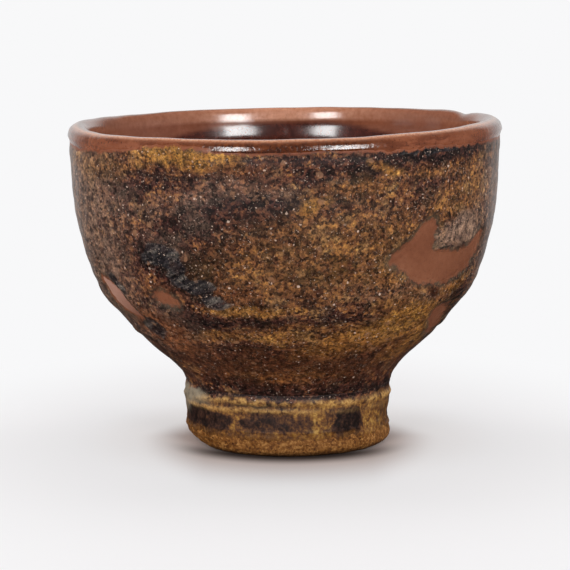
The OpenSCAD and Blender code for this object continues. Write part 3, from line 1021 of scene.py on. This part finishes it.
def foot_material():
    m = Material("foot_glaze", Specular_IOR_Level=0.35, Coat_Weight=0.06, Coat_Roughness=0.3)
    above, height, clumps, grain = granular(m)
    broad = m.noise(2.6, 4, 0.6, twist=0.5)
    runs = m.noise(0.8, 3, 0.6, stretch=(1, 1, 0.4))
    blot = m.step(m.total(-0.85, (m.field("dark"), 1), (clumps, 0.8), (runs, 0.9)), 0.3, 0.6)
    tone = m.total(
        -1.1, (broad, 0.8), (runs, 0.8), (clumps, 0.5), (grain, 1.1), (m.field("buff"), 0.26),
        (blot, -0.42))
    colour = m.tint(
        m.ramp(tone, FOOT_RAMP),
        (m.step(m.noise(1.9, 3, 0.6), 0.5, 0.64), 0.7, PURPLE_RAMP, grain),
        (m.times(m.field("line"), m.step(clumps, 0.34, 0.5)), 0.85, NODE_LINE_RAMP, grain),
        (m.field("green"), 0.8, GREEN_RAMP, clumps),
        (m.step(m.field("rim"), 1.1, 0.1), 0.6, TOASTED_RAMP, grain))
    colour = m.mix(m.field("neck"), colour, above)
    return m.finish(colour, m.total(0.38, (clumps, 0.3)), height, 0.09, 0.6)


def dress(obj, node, slot, *materials):
    for material in materials:
        obj.data.materials.append(material)
    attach(obj, "root")
    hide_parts(node)


dress(make_clay_bowl(), "clay_bowl", "bowl_clay", clay_material("bowl_stoneware"))
dress(make_clay_foot(), "clay_foot", "foot_clay", clay_material("foot_stoneware"))
dress(make_iron_glaze(), "iron_glaze", "iron_glaze", iron_gloss_material(), iron_satin_material())
dress(make_mottled_glaze(), "mottled_glaze", "mottled_glaze", mottled_material())
dress(make_foot_glaze(), "foot_glaze", "foot_glaze", foot_material())


# Stage: a pale floor that runs past the frame, two softboxes in front that the
# glaze mirrors, soft ones above and at the sides, and a pale world.
FLOOR_HALF = 6.0
FLOOR_COLOUR = "#dfdbdc"
FLOOR_PAINTED_SHADE = "#cfc1bc"
FLOOR_PAINTED_CONTACT_SHADOW = "#2a201c"
FLOOR_FAR = "#f8f8f9"
# Distances on the floor in metres: where its painted shade and painted contact
# shadow begin and end round the foot, and the share of the glow that each stretch farther out
# brings in.
PAINTED_SHADE_ENDS = (0.034, 0.016)
CONTACT_SHADOW_ENDS = (0.0205, 0.0152)
CONTACT_SHADOW_FRONT_ENDS = (-0.004, -0.013)
GLOW_STRETCHES = [(0.017, 0.038, 0.55), (0.05, 0.18, 0.45)]
# (name, azimuth, elevation, distance, width, height, power, seen in
# reflections), in degrees, metres and watts.
SOFTBOXES = [
    ("key_right", 28, 22, 0.9, 0.27, 0.3, 2.8, True),
    ("key_left", -27, 22, 0.9, 0.24, 0.3, 2.3, True),
    ("front_top", 0, 60, 0.8, 0.7, 0.4, 0.5, False),
    ("overhead", 180, 68, 0.8, 1.5, 0.4, 4.2, False),
    ("side_right", 92, 10, 0.8, 0.5, 0.5, 3, False),
    ("side_left", -92, 10, 0.8, 0.5, 0.5, 4.6, False),
]
WORLD_LIGHT = 0.25
WORLD_SEEN = 0.97
ROOM_MIRRORED = 0.06
SIDES_MIRRORED = 0.1
BACK_MIRRORED = 0.6


def seen_by_eye(m):
    """1 for camera, glossy and transmission rays, 0 for the rays that carry light."""
    path = m.node("LightPath")
    seen = m.larger(path.outputs["Is Camera Ray"], path.outputs["Is Glossy Ray"])
    return m.larger(seen, path.outputs["Is Transmission Ray"])


def mirrored_level(m):
    """What the glaze mirrors: a pale screen behind, dim sides and a dim room in front."""
    towards = m.node("VectorMath", {"Vector": m.place}, operation="NORMALIZE").outputs[0]
    sides = m.step(m.maths("ABSOLUTE", m.coordinate("X", towards)), 0.45, 0.9)
    behind = m.step(m.coordinate("Y", towards), 0.6, 0.95)
    return m.larger(
        m.total(ROOM_MIRRORED, (sides, SIDES_MIRRORED - ROOM_MIRRORED)),
        m.total(ROOM_MIRRORED, (behind, BACK_MIRRORED - ROOM_MIRRORED)))


def make_floor():
    h = FLOOR_HALF
    mesh = bpy.data.meshes.new("floor")
    mesh.from_pydata([(-h, -h, 0), (h, -h, 0), (h, h, 0), (-h, h, 0)], [], [(0, 1, 2, 3)])
    floor = add_object("floor", mesh)
    m = Material("floor", Roughness=0.9, Specular_IOR_Level=0)
    reach = m.node("VectorMath", {"Vector": m.place}, operation="LENGTH").outputs["Value"]
    aside, back = m.coordinate("X"), m.coordinate("Y")
    # Painted shade round the foot, and a painted contact shadow just in front of it.
    colour = m.mix(m.step(reach, *PAINTED_SHADE_ENDS), rgb(FLOOR_COLOUR), rgb(FLOOR_PAINTED_SHADE))
    contact_shadow = m.times(m.step(reach, *CONTACT_SHADOW_ENDS), m.step(back, *CONTACT_SHADOW_FRONT_ENDS))
    colour = m.tint(colour, (contact_shadow, 0.95, FLOOR_PAINTED_CONTACT_SHADOW))
    m.feed(m.shader.inputs["Base Color"], colour)
    # The paper glows a little more the farther it is from the foot, and sooner behind it.
    behind = m.larger(back, 0)
    beside = m.larger(m.total(-0.012, (m.maths("ABSOLUTE", aside), 1)), 0)
    away = m.total(0, (reach, 1), (behind, 1), (beside, 1.3))
    share = m.total(0, *((m.step(away, low, high), part) for low, high, part in GLOW_STRETCHES))
    mirrored = m.node("LightPath").outputs["Is Glossy Ray"]
    near = m.step(reach, 0.25, 0.05)
    level = m.times(mirrored_level(m), m.total(1, (near, -0.85)))
    level = m.times(m.maths("SUBTRACT", level, 1), mirrored)
    glow = m.node("Emission", {"Color": rgb(FLOOR_FAR), "Strength": m.maths("ADD", level, 1)})
    mixed = m.node("MixShader", {"Fac": m.larger(mirrored, m.times(share, seen_by_eye(m)))})
    m.feed(mixed.inputs[1], m.shader.outputs[0])
    m.feed(mixed.inputs[2], glow.outputs[0])
    m.feed(m.tree.nodes["Material Output"].inputs["Surface"], mixed.outputs[0])
    mesh.materials.append(m.material)


def make_lamps():
    for name, azimuth, elevation, distance, width, height, power, mirrored in SOFTBOXES:
        light = bpy.data.lights.new(name, "AREA")
        light.shape = "RECTANGLE"
        light.size, light.size_y, light.energy = width, height, power
        lamp = add_object(name, light)
        lamp.visible_glossy = mirrored
        a, e = math.radians(azimuth), math.radians(elevation)
        at = Vector((math.sin(a) * math.cos(e), -math.cos(a) * math.cos(e), math.sin(e))) * distance
        lamp.location = at
        lamp.rotation_euler = at.to_track_quat("Z", "Y").to_euler()


class World(Material):
    """The same short ways to add nodes, for the world."""

    def __init__(self, name):
        self.world = bpy.data.worlds.new(name)
        self.world.use_nodes = True
        self.tree = self.world.node_tree
        self.place = self.node("TexCoord").outputs["Generated"]


def make_world():
    w = World("studio")
    background = w.tree.nodes["Background"]
    w.feed(background.inputs["Color"], (1, 1, 1))
    strength = w.total(WORLD_LIGHT, (seen_by_eye(w), WORLD_SEEN - WORLD_LIGHT))
    mirrored = w.node("LightPath").outputs["Is Glossy Ray"]
    dimmer = w.times(w.maths("SUBTRACT", mirrored_level(w), WORLD_SEEN), mirrored)
    w.feed(background.inputs["Strength"], w.maths("ADD", strength, dimmer))
    bpy.context.scene.world = w.world


# The photograph's camera, in metres, degrees and millimetres of lens and sensor.
CAMERA_SIDE = -0.0005
CAMERA_DISTANCE = 0.341
CAMERA_HEIGHT = 0.0736
CAMERA_DOWN = 8.4
CAMERA_LENS = 144.06
CAMERA_SENSOR = 36
CAMERA_CLIP = 0.01


def make_camera():
    data = bpy.data.cameras.new("camera")
    data.lens = CAMERA_LENS
    data.sensor_width = CAMERA_SENSOR
    data.clip_start = CAMERA_CLIP
    camera = add_object("camera", data)
    camera.location = (CAMERA_SIDE, -CAMERA_DISTANCE, CAMERA_HEIGHT)
    camera.rotation_euler = (math.radians(90 - CAMERA_DOWN), 0, 0)
    bpy.context.scene.camera = camera


make_floor()
make_lamps()
make_world()
make_camera()
bpy.context.scene.view_settings.view_transform = "Standard"
